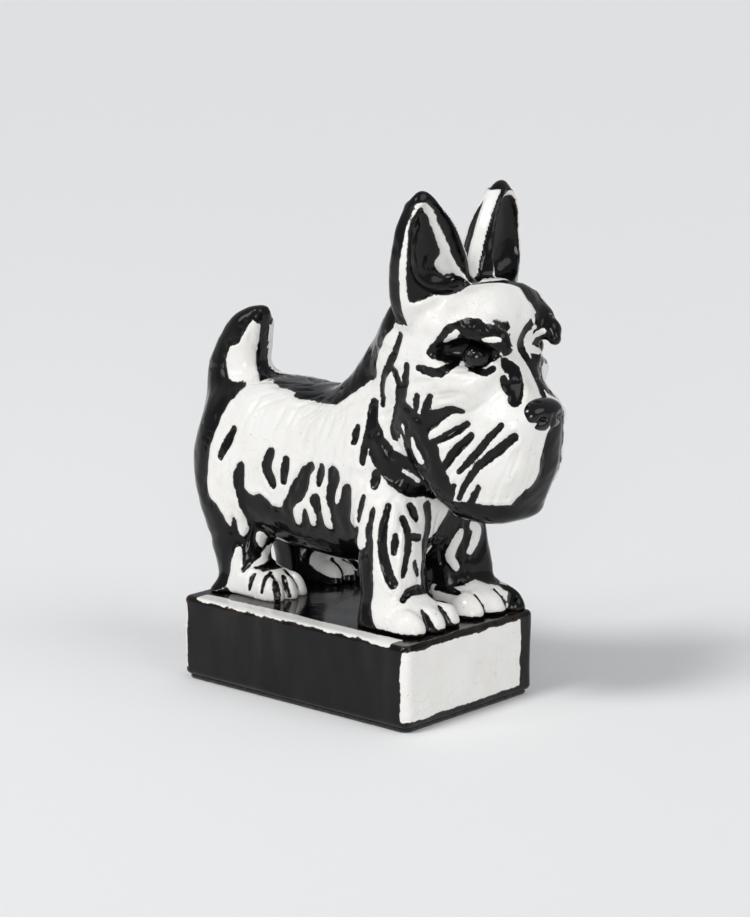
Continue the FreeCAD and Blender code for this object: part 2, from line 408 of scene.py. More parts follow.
class Skin:
    """The dog's surface and the paint on it. ink is how far a point is outside the black paint, in mm."""

    def __init__(self, points, quads):
        self.points, self.quads = points, quads
        self.normals = vertex_normals(points, quads)
        self.tree = BVHTree.FromPolygons(points.tolist(), quads.tolist())
        self.ink = np.full(len(points), FAR)

    def lay(self, which, distance, white):
        if white:
            self.ink[which] = np.maximum(self.ink[which], -distance)
        else:
            self.ink[which] = np.minimum(self.ink[which], distance)

    def fill(self, where, distance):
        """Black where distance is below 0, among the points that where picks out."""
        which = np.nonzero(where)[0]
        self.lay(which, distance[which], False)

    def stroke(self, width, points, sides, white):
        """A brush stroke along points (x, v, z), v outwards. width is one width or both ends' widths."""
        for side in sides:
            line = np.array(points, float) * (1, side, 1)
            if side == LEFT and len(sides) == 2:
                line += rng.normal(0, 0.3, line.shape)
            line = curve_through(line)
            for i, p in enumerate(line):
                line[i] = self.tree.find_nearest(Vector(p))[0]
            share = np.linspace(0, 1, len(line))
            first, last = np.broadcast_to(width, 2)
            half = (first + (last - first) * share) / 2 * (0.8 + 0.25 * np.sin(np.pi * share))
            self.mark(line, half, white)

    def mark(self, line, half, white):
        reach = half.max() + 2.5
        near = np.all((self.points > line.min(0) - reach) & (self.points < line.max(0) + reach), axis=1)
        which = np.nonzero(near)[0]
        self.lay(which, line_distance(self.points[which], line, half), white)

    def patch(self, outline, where, white=False, axes=(0, 2)):
        """A patch with that outline, seen from the side as (x, z) or from the front as (v, z).
        where says which points it may cover."""
        outline = curve_through(outline, 1.5, closed=True)
        flat = self.points[:, axes]
        near = where & np.all((flat > outline.min(0) - 3) & (flat < outline.max(0) + 3), axis=1)
        which = np.nonzero(near)[0]
        self.lay(which, outline_distance(flat[which], outline), white)


# Outlines (x, z) seen from the side.
SADDLE = [
    (-37.5, 84.5), (-28, 83.5), (-20, 82.5), (-15, 81.5), (-10.5, 81.5), (-0.5, 82), (6.5, 84.5),
    (13.5, 89), (18.5, 92), (19, 96), (21.5, 100), (24.5, 104.5), (29, 109), (31.5, 113.5), (28, 122),
    (0, 112), (-20, 96), (-34, 96), (-37, 90)]
# Painted shade over the rump and down the backs of the hind legs.
RUMP_SHADE = [
    (-41, 84.5), (-39, 83), (-36, 82), (-37.5, 80), (-39, 76), (-40.5, 71), (-42, 66.5), (-42.5, 62.5),
    (-43, 55), (-42, 51), (-38.5, 48), (-36, 44.5), (-36, 40), (-50, 36), (-66, 50), (-66, 84),
    (-52, 88)]
# From the haunch along the ragged skirt to the foreleg, then down and back under the belly: painted shade
# under the belly and over the hind legs, below the skirt.
BELLY_SHADE = [
    (-45, 40), (-38, 46.5), (-36, 44.5), (-34.5, 43), (-33.8, 45.7), (-33, 45.5), (-32.3, 42),
    (-31, 40.3), (-29.8, 42), (-29.5, 45), (-31, 48.5), (-32.5, 53), (-33, 57.5), (-31, 62),
    (-29, 61.5), (-29, 57), (-28.8, 54.5), (-26, 53), (-23.5, 54), (-21.5, 53), (-19.5, 51.5),
    (-17, 51), (-15, 52), (-13, 55), (-11.5, 58), (-6.5, 64), (-3, 66), (-2, 64.5), (-4, 62),
    (-4.8, 58), (-7, 54.5), (-9.5, 53), (-11, 50.5), (-10.7, 47.5), (-9.3, 47), (-8, 49), (-7, 52),
    (-5.3, 52.5), (-5, 48), (-3.5, 47.5), (-2.7, 49.5), (-3.2, 53), (-4.2, 55), (-3, 57), (-0.5, 57),
    (0, 54), (0.2, 49), (1.5, 47.5), (3.2, 48), (3.2, 53), (2, 57), (2.5, 61), (3.5, 65), (6, 66.3),
    (7.5, 64.5), (6.5, 61), (5, 57.5), (5.8, 55.3), (7.5, 57.5), (8.2, 60.5), (10, 61.8), (12, 61),
    (12, 57), (11, 51.5), (12.5, 50), (15, 51), (16.3, 50.5), (15.2, 47), (16.5, 45.3), (19, 46.5),
    (19.2, 51), (20.5, 56.5), (21.8, 57), (22, 50), (22.4, 43), (22.5, 35), (22, 30), (24, 26),
    (25, 20), (-10, 16), (-62, 20), (-60, 36)]
TAIL_BLACK = [
    (-33, 83), (-36.5, 88), (-36, 94), (-35, 108), (-46, 112), (-66, 96), (-66, 84), (-52, 82),
    (-42, 84)]
TAIL_WHITE = [
    (-38.6, 99.5), (-41, 96), (-42, 93), (-45, 91.5), (-46, 87.5), (-44, 83), (-38.5, 82.5), (-33, 83),
    (-37.6, 86), (-38.0, 92), (-37.3, 97)]
HINDPAW_WHITE = [
    (-34.3, 29), (-33, 24.3), (-14, 23.5), (-12.5, 28), (-17, 30.5), (-21, 32), (-24, 31), (-28, 32),
    (-30, 30), (-31, 36), (-32.5, 37), (-34, 33)]
FAR_HINDPAW_WHITE = [
    (-26.8, 29), (-26.5, 32.5), (-23, 34.5), (-19, 34.5), (-14, 31), (-12, 27), (-16, 26.4), (-22, 27.4)]
CHEEK_BLACK = [
    (28, 88), (31, 87.5), (34, 86), (37.5, 84.5), (43.5, 85.2), (42.3, 83), (40.5, 81.2), (38.8, 79.3),
    (39.2, 77.8), (41.3, 77), (41.6, 74), (42.3, 71.5), (43.4, 69), (44.3, 66), (43.5, 63), (40.5, 61),
    (36, 62.5), (32, 65.5), (28.5, 69.5), (28.6, 73), (29.4, 76.5), (30.4, 79.5), (29.7, 81),
    (28, 78.5), (26, 75.5), (24.2, 76.5), (24.3, 80), (26, 84)]
# Painted shadow under the jaw, over the neck and the top of the chest.
JAW_SHADOW = [
    (16.3, 80), (17.5, 74), (19, 69.5), (21.5, 66), (24.5, 63), (28, 60.5), (30.5, 58.5), (32, 54),
    (37, 55), (43, 60), (41.5, 64), (33, 65), (31, 70), (28, 71.3), (24.8, 73), (22, 76.5), (19.9, 81),
    (19.5, 86), (17, 86)]
EYE_BLACK = [
    (38.5, 101), (40.5, 104.2), (43.5, 107.5), (46, 110), (50, 111.3), (53.5, 111.2), (55.5, 109.8),
    (58.5, 108.3), (60.5, 105.5), (59, 103.3), (55.5, 101.3), (52.5, 98.3), (49.5, 97.2), (46.5, 99.5),
    (44.5, 98.7), (42, 99.3)]
# Outlines (v, z) seen from the front, on the left side only.
# Painted shade between the forelegs and under the beard.
CHEST_SHADE = [
    (-1, 48), (4, 58), (12, 64), (24, 62), (25, 40), (24, 33), (18, 31), (9, 34.5), (5, 36), (3, 33),
    (0, 30), (-4, 30), (-8, 33), (-8.5, 47), (-4, 47)]
# Painted shade down the beard's front edge, mostly on its left half.
BEARD_EDGE_SHADE = [
    (2.2, 84), (1.4, 82), (-0.3, 79), (-1.5, 74), (-1.2, 69.5), (-2.5, 66.5), (-6, 63.5), (-6, 60),
    (8, 58), (10, 68), (10, 80), (7, 86)]
# The ear's black lining, painted shade in its cup, and the inside of its black rim, both as shares: of the
# half width outwards, and of the ear's height.
EAR_SHADE_LINING = [
    (0.55, 0.88), (0.84, 0.79), (0.86, 0.68), (0.85, 0.53), (0.86, 0.39), (0.84, 0.29), (0.75, 0.265),
    (0.2, 0.32), (-0.5, 0.35), (-0.66, 0.38), (-0.5, 0.43), (-0.33, 0.42), (-0.17, 0.49), (-0.34, 0.57),
    (-0.27, 0.7), (-0.1, 0.82), (0.25, 0.89)]
EAR_RIM = [
    (1.4, 0.1), (1.4, 0.6), (1.0, 0.78), (0.78, 0.88), (0.33, 0.93), (-0.24, 0.87), (-0.45, 0.75),
    (-0.56, 0.63), (-0.6, 0.49), (-0.68, 0.39), (-0.85, 0.31), (-1.4, 0.27), (-1.4, -0.1), (1.4, -0.1)]

# Brush strokes: width, or the two ends' widths, then points (x, v, z).
FLANK = [
    (2.9, (-33.8, 17, 70.8), (-37.8, 18.5, 62.8)),
    (3.6, (-19, 17.5, 66.5), (-20.5, 17.5, 62), (-18.3, 17.5, 57.5)),
    (3.0, (-13.3, 17.5, 65.2), (-14, 17.5, 59)),
    (2.7, (1, 18.5, 65.2), (-0.6, 18, 60.5)),
    (2.2, (17.5, 19.5, 59.5), (16, 20, 53)),
    (2.4, (13.7, 18, 78), (13, 18.5, 73.8)),
    (3.2, (20.2, 18, 66), (20.2, 18.5, 63)),
    (2.4, (17.2, 18, 77), (16, 18.5, 68.5)),
]
CHEEK = [
    (2.4, (29.5, 18.5, 105), (28, 18.5, 101), (25.5, 18, 96.5), (22.4, 17.5, 92.5), (21.4, 16.5, 89),
     (21.2, 16, 85)),
    (2.2, (25.5, 18.5, 96.5), (28.5, 18.5, 93), (28.5, 18, 88.5), (26.5, 17.5, 83)),
    (2.8, (32, 19, 97), (31, 19, 92), (29, 18.5, 85), (26.5, 18, 77)),
    (2.2, (35.5, 18.5, 89.5), (34.5, 18, 85)),
    (2.2, (39.5, 18, 89.5), (37, 17.5, 84.5)),
    ((3.4, 2.4), (37.5, 17.5, 84), (41.5, 16, 85), (44.5, 15, 86.5), (47.5, 14, 86.5)),
    (2.3, (39.8, 17.5, 77.2), (44.2, 15.8, 79.6), (48.2, 12.5, 82.8)),
    (2.5, (42.8, 16.5, 70.6), (44.4, 15.7, 73.2), (46.2, 14.6, 76), (49.5, 12.5, 79.8)),
    (2.2, (46, 13, 70), (50, 12.5, 74), (54.5, 12, 79), (58.5, 11, 83.5)),
    ((1.8, 3.2), (45.5, 12.5, 62.5), (47.5, 12.5, 66.5), (52, 12.5, 72), (57.5, 12, 76.5),
     (61.5, 10, 80.5)),
    (1.8, (44.5, 13.5, 66), (43, 13.5, 61.5)),
    ((1.6, 2.2), (29, 17.5, 79.5), (30, 17.5, 76.5), (31, 17, 74), (32.5, 16, 71), (33.5, 15.5, 68.5),
     (35, 15, 66)),
    (2.0, (51.5, 12, 66), (49, 12, 62), (47, 11.5, 59)),
]
FACE = [
    (2.6, (36.5, 19, 97), (42.5, 18.5, 96.5), (44.5, 16.5, 97.5), (44.5, 12.5, 99.5)),
    (2.2, (47.5, 12, 98.5), (51.5, 13, 97.3), (53.5, 12, 97), (54.8, 10.5, 98)),
    ((2.8, 4.6), (57, 13, 106), (59.3, 11, 103.5), (59.5, 9, 101.5), (58.3, 6.5, 99), (57.2, 4.3, 96.8),
     (58.5, 5, 93), (59.5, 7.3, 89.5)),
    (2.6, (55.5, 7.5, 95), (57.5, 7, 91.5)),
]
FORELEG_INK = [
    ((2.2, 3.6), (25, 18, 58), (24.5, 19.5, 51.5), (25, 20, 45), (26.5, 19.5, 39.5), (27.5, 19, 37)),
    (2.2, (27.5, 18, 50), (27.5, 18.5, 45.5)),
    ((2.6, 2.2), (28, 15.5, 54.5), (29, 14.5, 50), (29, 15, 44.5), (29, 16.5, 39)),
    (2.4, (30.5, 14, 58), (30, 11.5, 54)),
    ((3.2, 2.4), (33, 8.5, 57), (31, 6.5, 52), (29, 6.8, 45), (29.5, 8.5, 38), (30, 7.5, 33.5)),
    (2.2, (29, 14.5, 49.5), (29.5, 10, 48.5)),
    (2.0, (29.5, 12.5, 42), (29.5, 11, 38.5)),
    ((2.2, 3.0), (29.5, 17.5, 32.5), (30, 14.5, 34.5), (30, 8.5, 34)),
    ((1.4, 3.2), (34.5, 14.8, 30), (38.8, 15, 23)),
    ((1.4, 3.2), (34.5, 7.8, 30), (38.8, 7.8, 23)),
    ((1.4, 2.4), (-20.5, 15.3, 30.5), (-17, 17.5, 27), (-16.3, 18, 24.5)),
    (1.4, (-19, 12.8, 30.5), (-15.8, 13.5, 25)),
    (1.7, (-21, 9.5, 31), (-15.5, 9.5, 25)),
    (1.6, (-26, 17, 30.2), (-26, 19, 26.5)),
    (1.5, (-22, 14.5, 31), (-21.2, 18, 29), (-21, 19, 26.5)),
]
LEFT_ONLY = [
    (3.6, (54.5, 6, 101), (56.5, 6, 98), (58.5, 6.5, 94), (60.5, 6, 90.5)),
    ((1.8, 4.4), (44, -5.5, 118.8), (46.5, -1.5, 119.2), (48.5, 2, 118.8), (50.5, 5.5, 117.2)),
    (2.8, (55.5, 6.5, 109.5), (55.5, 1, 106.5), (54.5, 1, 102.5), (56.5, 2.5, 98), (59, 3.5, 93),
     (61.5, 2.5, 90)),
    (4.6, (45, 7.5, 119), (49, 6.5, 118), (53, 6.5, 115), (54.5, 8.5, 112), (55, 10, 110)),
    (5.0, (43, 11.5, 118.5), (48, 11, 117), (52, 11, 114.5), (54, 12.5, 111)),
    (3.0, (56, 4, 108), (58, 9, 108.5), (59.8, 11.5, 106), (60, 10.5, 103.5)),
    (2.0, (55, 10.5, 99), (55, 8.5, 96.5)),
    (2.4, (26, 4.5, 37), (28, 6, 35), (29.5, 9, 36.5), (30.5, 14.5, 33.5), (32.5, 18, 30.5),
     (35.5, 19.5, 29)),
    (2.2, (24, 3.5, 31), (30.5, 4.5, 31)),
    (3.4, (26, 22, 42), (28, 25, 36), (30, 26, 32)),
]
# White marks laid over the black; the first two are painted highlights in the black round the eye.
WHITE_FLECKS_AND_GLINTS = [
    (2.2, (43.5, 16, 104.5), (48, 17.5, 107.6)),
    (1.5, (54.5, 14, 106), (58.5, 12.5, 106.3)),
    ((2.2, 1.4), (54, 5, 112.5), (55.7, 4.8, 110.5), (56, 4.4, 108.5)),
    (1.3, (55.6, 4.6, 107.8), (56.5, 5.8, 107)),
    ((1.6, 3.0), (33, 18, 77), (33.5, 17.5, 74.5), (35, 17, 71.5)),
    (1.2, (27, 14, 67), (28, 12.5, 66), (29.5, 10.5, 64)),
]
LEFT_FLECKS = [
    (2.8, (29, 8, 46.5), (28, 6.5, 43.5), (27, 5.5, 40), (28.5, 6.5, 37)),
    (3.2, (29.5, 12.5, 48), (29.5, 14.5, 46), (29.5, 11.5, 41)),
    (2.2, (56.5, 8, 105.5), (55.2, 5, 103.5), (55, 4.5, 101.5), (55, 8, 100.2)),
]
RIGHT_FLECKS = [
    (2.9, (-28.5, 12, 41), (-29, 11, 38)),
    ((1.6, 2.8), (-28, 15.5, 32), (-26.5, 12, 34), (-28, 8, 36)),
    (3.0, (25, 1, 43), (25, 1, 42)),
]


def paint_ears(skin):
    """A black lining of painted shade in the ear's cup, a white band round it, and a black rim and back."""
    x, v, z = skin.points.T
    share, ahead, across = ear_place(x, np.abs(v), z)
    rows = np.array(EAR)
    height = EAR_TIP[2] - EAR_FOOT[2]
    which = np.nonzero((share > 0.1) & (ear(x, np.abs(v), z) < 1.25))[0]
    share, ahead, across = share[which], ahead[which], across[which]

    def inside(outline):
        flat = np.array([(a * smooth_curve(rows[:, 0], rows[:, 2], up), up * height) for a, up in outline])
        place = np.stack([across, share * height], axis=1)
        return outline_distance(place, curve_through(flat, 1.0, closed=True))

    scooped = ear_scoop(x, np.abs(v), z)[which] < 1.12
    rim = np.where(scooped & (share < 0.4), FAR, -inside(EAR_RIM))
    # Painted shade: the lower part of the ear's cup is black.
    hollow = np.maximum(share - 0.36, -0.75 - across / smooth_curve(rows[:, 0], rows[:, 2], share)) * height
    front = np.minimum(np.where(scooped, np.minimum(inside(EAR_SHADE_LINING), hollow), inside(EAR_SHADE_LINING)), rim)
    width = smooth_curve(rows[:, 0], rows[:, 2], share)
    behind = np.where(across > 0, ahead - 2.5, ahead + 1.6)
    behind = np.maximum(behind, 0.62 * width - np.abs(across))
    edge = (across < 0) & (ahead < 2.2) & (share < np.where(v[which] > 0, 0.94, 0.86))
    ink = np.where(scooped, front, np.where(edge, behind, np.minimum(front, behind)))
    skin.lay(which, ink, False)


def paint(skin):
    x, v, z = skin.points.T
    facing = skin.normals[:, 1] * np.sign(v)
    body = np.ones(len(x), bool)
    not_ear = ear(x, np.abs(v), z) > 1.1
    skin.patch(SADDLE, (z < 117) & not_ear)
    # Painted shade on the rump and under the belly.
    skin.patch(RUMP_SHADE, body)
    skin.patch(BELLY_SHADE, body)
    skin.patch(TAIL_BLACK, z > 82)
    skin.patch(TAIL_WHITE, facing > 0.2, white=True)
    skin.patch(HINDPAW_WHITE, v < -3.5, white=True)
    skin.patch(FAR_HINDPAW_WHITE, v > 3.5, white=True)
    # Painted shadow under the jaw.
    skin.patch(JAW_SHADOW, facing > -0.2)
    skin.patch(CHEEK_BLACK, facing > 0)
    skin.patch(EYE_BLACK, np.abs(v) > 4.5)
    # Painted shade on the chest between the forelegs, mostly on the left side.
    inwards = (x > 21) & (z < 57) & (skin.normals[:, 0] > -0.3) & (skin.normals[:, 1] < 0.85)
    skin.patch(CHEST_SHADE, inwards, axes=(1, 2))
    # Painted shade down the front of the beard.
    skin.patch(BEARD_EDGE_SHADE, x > 50, axes=(1, 2))
    skin.ink += 0.16 * ripple(skin.points, 4) + 0.1 * ripple(skin.points, 2)
    # Painted shade on the forelegs' inner sides.
    skin.fill((x > 18) & (x < 34) & (z < 50) & (z > 32), 5 * (facing + 0.35))  # the forelegs' inner sides
    for strokes, sides, white in (
            (FLANK + CHEEK + FACE + FORELEG_INK, (RIGHT, LEFT), False),
            (LEFT_ONLY, (LEFT,), False),
            (WHITE_FLECKS_AND_GLINTS, (RIGHT, LEFT), True),
            (LEFT_FLECKS, (LEFT,), True),
            (RIGHT_FLECKS, (RIGHT,), True)):
        for width, *points in strokes:
            skin.stroke(width, points, sides, white)
    # Painted shade under the beard.
    skin.fill((z < 66) & (x > 40), z - BEARD_SHADE_TOP)
    # Painted contact shadow under the forefeet.
    skin.fill((z < 26) & (x > 8), z - GROUND - SOLE_SHADOW)
    skin.fill((z < 40) & (x > 26) & (v > 12), 39.9 - 0.75 * x - 0.66 * v)  # the left forefoot's outer toe
    paint_ears(skin)


# ---------------------------------------------------------------- relief
def ripple(p, length, count=14):
    """Smooth noise of about -1 to 1 whose bumps are about length long, made of a few random waves."""
    waves = rng.normal(0, 2.2 / length, (count, 3))
    turns = rng.uniform(0, 2 * math.pi, count)
    return np.sin(p @ waves.T + turns).sum(axis=1) / math.sqrt(count)


def hair_way(p, normal):
    """Which way the fur lies at a point: down the flanks and legs, and back from the nose over the face."""
    x, v, z = p
    way = np.array((-0.25, 0.05 * np.sign(v), -1.0))
    if z > 58 and x > 18:
        way = np.array((x, v, z)) - (66, 0, 92)
        way[2] -= 8 + 0.2 * (96 - z)
    elif z > 78:
        way = np.array((-1.0, 0.4 * np.sign(v), -0.5 if x > -36 else 1.6))
    way = way - (way @ normal) * normal
    return way / max(np.linalg.norm(way), 1e-6)


def comb(skin, count):
    """Short tooled grooves in the fur: how deep they are at each vertex."""
    depth = np.zeros(len(skin.points))
    chosen = rng.choice(len(skin.points), count, replace=False)
    for i in chosen:
        p, normal = skin.points[i], skin.normals[i]
        bare = (p[2] < 34 or p[2] > 112 or (p[0] > 53 and p[2] > 84) or normal[2] < -0.5)
        if bare:
            continue
        way = hair_way(p, normal)
        across = np.cross(normal, way)
        length, bend = rng.uniform(5, 10), rng.uniform(-0.9, 0.9)
        line = np.array([p + way * length * t + across * bend * t * t for t in (-0.5, -0.2, 0.2, 0.5)])
        half = np.array((0.1, 0.5, 0.45, 0.1)) * rng.uniform(0.8, 1.3)
        reach = 1.6
        near = np.all((skin.points > line.min(0) - reach) & (skin.points < line.max(0) + reach), axis=1)
        which = np.nonzero(near)[0]
        away = line_distance(skin.points[which], line, half)
        groove = np.clip(0.6 - away, 0, 1.0) * rng.uniform(0.18, 0.45)
        depth[which] = np.maximum(depth[which], groove)
    return depth


def carve_relief(skin):
    """Pressed brush marks, fur grooves and the unevenness of a hand-finished casting."""
    x, v, z = skin.points.T
    ink = blurred(skin.ink, skin.quads, 2)
    pressed = 0.5 * step(0.6, -0.9, ink) * (0.35 + 0.65 * step(-4.5, -1.5, ink))
    lip = 0.16 * np.exp(-((ink - 1.0) / 0.55) ** 2)
    foot = step(GROUND + 0.5, GROUND + 4, z)
    face = 1 - 0.6 * ((x > 38) & (z > 94) & (z < 113))
    fur = comb(skin, 1100)
    uneven = 0.16 * ripple(skin.points, 11) + 0.05 * ripple(skin.points, 3.5)
    lift = (lip - pressed) * face * (0.4 + 0.6 * foot) - fur * (ink > -2) + uneven * foot
    skin.points = skin.points + skin.normals * lift[:, None]
    skin.normals = vertex_normals(skin.points, skin.quads)


def curvature(points, quads, normals):
    """How much each vertex stands out from its neighbours, in mm: above 0 on edges, below 0 in grooves."""
    total = np.zeros((len(points), 3))
    count = np.zeros(len(points))
    for i, j in ((0, 1), (1, 2), (2, 3), (3, 0)):
        for a, b in ((quads[:, i], quads[:, j]), (quads[:, j], quads[:, i])):
            for k in range(3):
                total[:, k] += np.bincount(a, points[b, k], len(points))
            count += np.bincount(a, minlength=len(points))
    middle = total / np.maximum(count, 1)[:, None]
    return ((points - middle) * normals).sum(axis=1)


def blurred(values, quads, times):
    """Averages the values over neighbouring vertices."""
    for _ in range(times):
        mean = values[quads].mean(axis=1)
        total = sum(np.bincount(quads[:, i], mean, len(values)) for i in range(4))
        count = sum(np.bincount(quads[:, i], minlength=len(values)) for i in range(4))
        values = total / np.maximum(count, 1)
    return values


# ---------------------------------------------------------------- meshes
def new_mesh(name, points, faces):
    """A smooth mesh object from points in the row frame, in mm. It rides with the object."""
    mesh = bpy.data.meshes.new(name)
    mesh.from_pydata((np.asarray(points) * MM).tolist(), [], [list(map(int, f)) for f in faces])
    mesh.shade_smooth()
    thing = bpy.data.objects.new(name, mesh)
    bpy.context.scene.collection.objects.link(thing)
    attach(thing, "root")
    return thing


def set_values(thing, name, values):
    attribute = thing.data.attributes.new(name, "FLOAT", "POINT")
    attribute.data.foreach_set("value", np.asarray(values, np.float32))


def part_labels(skin):
    """For each face, the number in PARTS of the piece that it belongs to."""
    middle = skin.points[skin.quads].mean(axis=1)
    x, v, z = middle[:, 0], np.abs(middle[:, 1]), middle[:, 2]
    away = np.stack([
        18 * (np.minimum(torso(x, v, z), neck(x, v, z)) - 1),
        17 * (np.minimum(np.minimum(cranium(x, v, z), cheeks(x, v, z)), muzzle(x, v, z)) - 1),
        8 * (tail(x, v, z) - 1) + 20 * (z < 82),
        9 * (ear(x, v, z) - 1) + 20 * (z < 108),
        limb(BROW)(x, v, z) + 0.2,
        9 * (np.minimum(foreleg(x, v, z), forepaw(x, v, z)) - 1) + 20 * (z > 52),
        9 * (np.minimum(hindleg(x, v, z), hindpaw(x, v, z)) - 1) + 20 * (z > 52)])
    found = away.argmin(axis=0)
    return np.where(found > 2, 2 * found - 3 + (middle[:, 1] > 0), found)


PARTS = [("torso", "torso_shell"), ("head", "head_shell"), ("tail", "tail"),
         ("ear_right", "ear_right"), ("ear_left", "ear_left"), ("brow_right", "brow_right"),
         ("brow_left", "brow_left"), ("foreleg_right", "foreleg_right"), ("foreleg_left", "foreleg_left"),
         ("hindleg_right", "hindleg_right"), ("hindleg_left", "hindleg_left")]


def close_openings(points, quads):
    """Closes each opening with a point at its middle and a fan of triangles. Returns the points and fans."""
    edges = np.concatenate([quads[:, (i, (i + 1) % 4)] for i in range(4)])
    key = edges[:, 0].astype(np.int64) * len(points) + edges[:, 1]
    back = edges[:, 1].astype(np.int64) * len(points) + edges[:, 0]
    rim = edges[~np.isin(key, back)]
    group = {}

    def root(i):
        while group.setdefault(i, i) != i:
            i = group[i]
        return i

    for a, b in rim:
        group[root(int(a))] = root(int(b))
    loops = {}
    for a, b in rim:
        loops.setdefault(root(int(a)), []).append((int(a), int(b)))
    points, fans = list(points), []
    for loop in loops.values():
        middle = np.mean([points[a] for a, b in loop], axis=0)
        points.append(middle)
        fans += [(b, a, len(points) - 1) for a, b in loop]
    return np.array(points), fans


def split_pieces(skin, bend, glaze):
    """The glazed pieces, each a closed mesh that meets its neighbours along the same seam."""
    labels = part_labels(skin)
    for number, (name, node) in enumerate(PARTS):
        own = skin.quads[labels == number]
        used, local = np.unique(own, return_inverse=True)
        local = local.reshape(own.shape)
        points, fans = close_openings(skin.points[used], local)
        thing = new_mesh("glazed_" + name, points + (0, DOG_Y, 0), list(local) + fans)
        extra = len(points) - len(used)
        normals = np.concatenate([skin.normals[used], np.tile((0, 0, 1.0), (extra, 1))])
        thing.data.normals_split_custom_set_from_vertices(normals.tolist())
        set_values(thing, "ink", np.concatenate([skin.ink[used], np.full(extra, FAR)]))
        set_values(thing, "bend", np.concatenate([bend[used], np.zeros(extra)]))
        thing.data.materials.append(glaze)
        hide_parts(node)


def ball(name, centre, radii, shape, material, node, count=64, side=LEFT):
    """A closed black ball of rings round X, whose surface shape() moves. Its poles lie in front and behind.
    shape() is worked out for the left side and mirrored for the right one."""
    around_x = np.arange(count) * 2 * math.pi / count
    from_front = (np.arange(count // 2 - 1) + 1) * 2 * math.pi / count
    along, turn = np.meshgrid(from_front, around_x, indexing="ij")
    ring = np.stack([np.cos(along), np.sin(along) * np.cos(turn), np.sin(along) * np.sin(turn)], axis=-1)
    unit = np.concatenate([ring.reshape(-1, 3), [(1, 0, 0), (-1, 0, 0)]])
    rings = count // 2 - 1
    last, front, rear = (rings - 1) * count, rings * count, rings * count + 1
    faces = []
    for j in range(count):
        after = (j + 1) % count
        faces += [(i + count + j, i + count + after, i + after, i + j) for i in range(0, last, count)]
        faces += [(j, after, front), (last + after, last + j, rear)]
    mirror = (1, side, 1)
    points = shape(unit * mirror) * mirror * radii + centre
    thing = new_mesh(name, points + (0, DOG_Y, 0), faces)
    set_values(thing, "bend", np.zeros(len(points)))
    thing.data.materials.append(material)
    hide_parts(node)


def nose_shape(unit):
    """Flattened in front, with two nostrils and a groove below them."""
    x, v, z = unit.T
    dent = np.zeros(len(unit))
    for side in (-1, 1):
        dent += 0.3 * np.exp(-((v - 0.46 * side) ** 2 / 0.03 + (z + 0.1) ** 2 / 0.045)) * (x > 0)
        dent += 0.14 * np.exp(-((v - 0.72 * side) ** 2 / 0.03 + (z + 0.32) ** 2 / 0.02)) * (x > 0)
    dent += 0.16 * np.exp(-(v / 0.08) ** 2) * step(0.3, -0.4, z) * (x > 0)
    squared = unit * (1 + 0.10 * (1 - (unit ** 4).sum(axis=1, keepdims=True)))
    return squared * (1 - dent[:, None])


def eye_shape(unit):
    """A bead with a shallow step round the part that looks out."""
    x, v, z = unit.T
    out = unit @ np.array((0.72, 0.66, 0.0)) / math.hypot(0.72, 0.66)
    return unit * (1 + 0.05 * step(0.72, 0.8, out) - 0.03 * step(0.6, 0.7, out))[:, None]


def rounded_box(low, high, corner, edge, spacing):
    """Points and quads of a box with upright corners of one radius and its other edges of a smaller one."""
    low, high = np.array(low, float), np.array(high, float)
    size = high - low
    counts = np.maximum((size / spacing).astype(int), 4)
    squares = []
    for axis in range(3):
        first, second = (axis + 1) % 3, (axis + 2) % 3
        i, j = np.meshgrid(np.arange(counts[first]), np.arange(counts[second]), indexing="ij")
        for end in (0, counts[axis]):
            key = np.zeros((i.size, 4, 3), int)
            key[:, :, axis] = end
            for place, (di, dj) in enumerate(((0, 0), (1, 0), (1, 1), (0, 1))):
                key[:, place, first] = i.ravel() + di
                key[:, place, second] = j.ravel() + dj
            squares.append(key if end else key[:, ::-1])
    keys, faces = np.unique(np.concatenate(squares).reshape(-1, 3), axis=0, return_inverse=True)
    p = low + size * keys / counts
    inner = corner - edge
    core = np.clip(p[:, :2], low[:2] + corner, high[:2] - corner)
    out = p[:, :2] - core
    far = np.linalg.norm(out, axis=1, keepdims=True)
    nearest = np.column_stack([core + out * np.minimum(1, inner / np.maximum(far, 1e-9)),
                               np.clip(p[:, 2], low[2] + edge, high[2] - edge)])
    away = p - nearest
    return nearest + edge * away / np.linalg.norm(away, axis=1, keepdims=True), faces.reshape(-1, 4)


